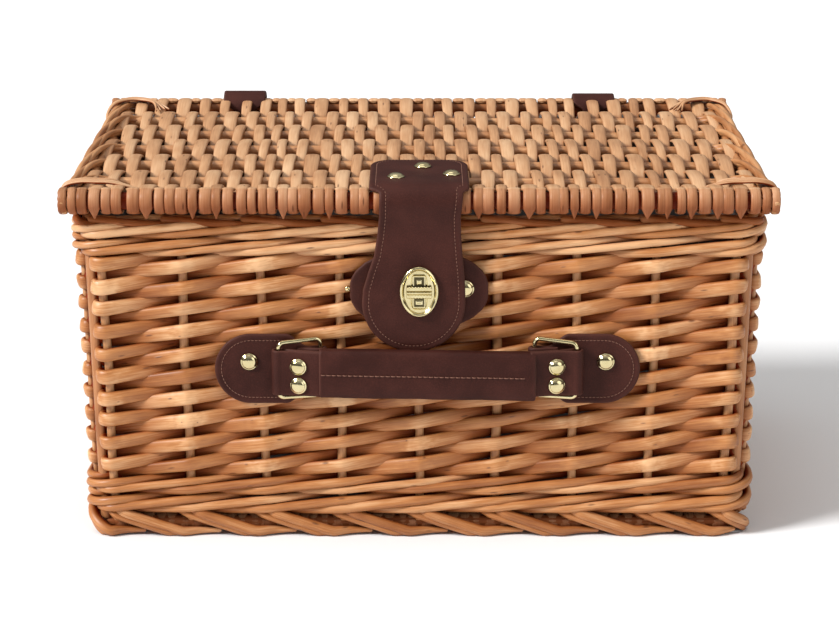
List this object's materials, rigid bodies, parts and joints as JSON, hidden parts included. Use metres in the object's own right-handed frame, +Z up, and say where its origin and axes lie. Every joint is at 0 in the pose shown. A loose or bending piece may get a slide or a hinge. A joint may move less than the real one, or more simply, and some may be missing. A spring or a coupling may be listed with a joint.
{
  "type": "wicker picnic hamper",
  "caption": "Rectangular woven willow hamper with a hinged lid, leather closure flap with a turn lock, and a folding leather handle on brass rings.",
  "frame": {"origin": "centre of the flat underside that the basket stands on", "axes": "+X along the long side, -Y towards the front with the lock and handle, +Z up"},
  "size_m": [0.3998, 0.2888, 0.212],
  "materials": {
    "weave_willow": "buff willow, smooth half-round rods",
    "rod_willow": "buff willow, round rods",
    "leather": "dark brown, fine grain, stitched",
    "brass": "polished pale brass",
    "cloth": "plain grey woven cloth"
  },
  "bodies": {
    "basket": {"base_weave": "weave_willow", "base_runner_front": "rod_willow", "base_runner_back": "rod_willow", "lining": "cloth", "lock_patch": "leather", "patch_rivet_left": "brass", "patch_rivet_right": "brass", "lock_base": "brass", "front_stakes": "rod_willow", "lower_wale_front": "weave_willow", "siding_front": "weave_willow", "rim_wale_front": "weave_willow", "back_stakes": "rod_willow", "lower_wale_back": "weave_willow", "siding_back": "weave_willow", "rim_wale_back": "weave_willow", "left_stakes": "rod_willow", "lower_wale_left": "weave_willow", "siding_left": "weave_willow", "rim_wale_left": "weave_willow", "right_stakes": "rod_willow", "lower_wale_right": "weave_willow", "siding_right": "weave_willow", "rim_wale_right": "weave_willow", "handle_tab_left": "leather", "tab_rivet_left": "brass", "hinge_strap_left": "leather", "hinge_rivet_left": "brass", "handle_tab_right": "leather", "tab_rivet_right": "brass", "hinge_strap_right": "leather", "hinge_rivet_right": "brass"},
    "lid": {"lid_weave": "weave_willow", "lid_rod_front": "rod_willow", "lid_rod_back": "rod_willow", "lid_rod_left": "rod_willow", "lid_rod_right": "rod_willow", "lid_stick_1": "rod_willow", "lid_stick_2": "rod_willow", "lid_stick_3": "rod_willow", "lid_stick_4": "rod_willow", "lid_stick_5": "rod_willow", "hinge_loop_left": "leather", "hinge_loop_right": "leather", "closure_anchor": "leather", "closure_rivet_left": "brass", "closure_rivet_middle": "brass", "closure_rivet_right": "brass"},
    "flap": {"closure_flap": "leather", "lock_escutcheon": "brass"},
    "turn_button": {"turn_button": "brass"},
    "handle_grip": {"handle_grip": "leather"},
    "ring_left": {"ring_left": "brass"},
    "strap_end_left": {"strap_end_left": "leather", "strap_rivets_left": "brass"},
    "ring_right": {"ring_right": "brass"},
    "strap_end_right": {"strap_end_right": "leather", "strap_rivets_right": "brass"}
  },
  "joints": [
    {"name": "lid_hinge", "type": "hinge", "parent": "basket", "child": "lid", "pos_m": [0, 0.1405, 0.1905], "axis": [-1, 0, 0], "range_deg": [0, 102]},
    {"name": "flap_lift", "type": "hinge", "parent": "lid", "child": "flap", "pos_m": [0, -0.139, 0.206], "axis": [-1, 0, 0], "range_deg": [0, 135]},
    {"name": "button_turn", "type": "hinge", "parent": "basket", "child": "turn_button", "pos_m": [0, -0.144, 0.1495], "axis": [0, -1, 0], "range_deg": [0, 90]},
    {"name": "handle_pull", "type": "slide", "parent": "basket", "child": "handle_grip", "axis": [0, -1, 0], "range_m": [0, 0.022]},
    {"name": "ring_left_swing", "type": "hinge", "parent": "basket", "child": "ring_left", "pos_m": [-0.0553, -0.1329, 0.1025], "axis": [0, 0, 1], "range_deg": [0, 30.09]},
    {"name": "strap_left_bend", "type": "hinge", "parent": "handle_grip", "child": "strap_end_left", "pos_m": [-0.0583, -0.1418, 0.1025], "axis": [0, 0, -1], "range_deg": [0, 33.67]},
    {"name": "ring_right_swing", "type": "hinge", "parent": "basket", "child": "ring_right", "pos_m": [0.0647, -0.1329, 0.1025], "axis": [0, 0, -1], "range_deg": [0, 30.09]},
    {"name": "strap_right_bend", "type": "hinge", "parent": "handle_grip", "child": "strap_end_right", "pos_m": [0.0677, -0.1418, 0.1025], "axis": [0, 0, 1], "range_deg": [0, 33.67]}
  ],
  "couplings": [
    {"joint": "ring_left_swing", "follows": "handle_pull", "rad_per_m": 23.79},
    {"joint": "strap_left_bend", "follows": "handle_pull", "rad_per_m": 26.63},
    {"joint": "ring_right_swing", "follows": "handle_pull", "rad_per_m": 23.79},
    {"joint": "strap_right_bend", "follows": "handle_pull", "rad_per_m": 26.63}
  ]
}
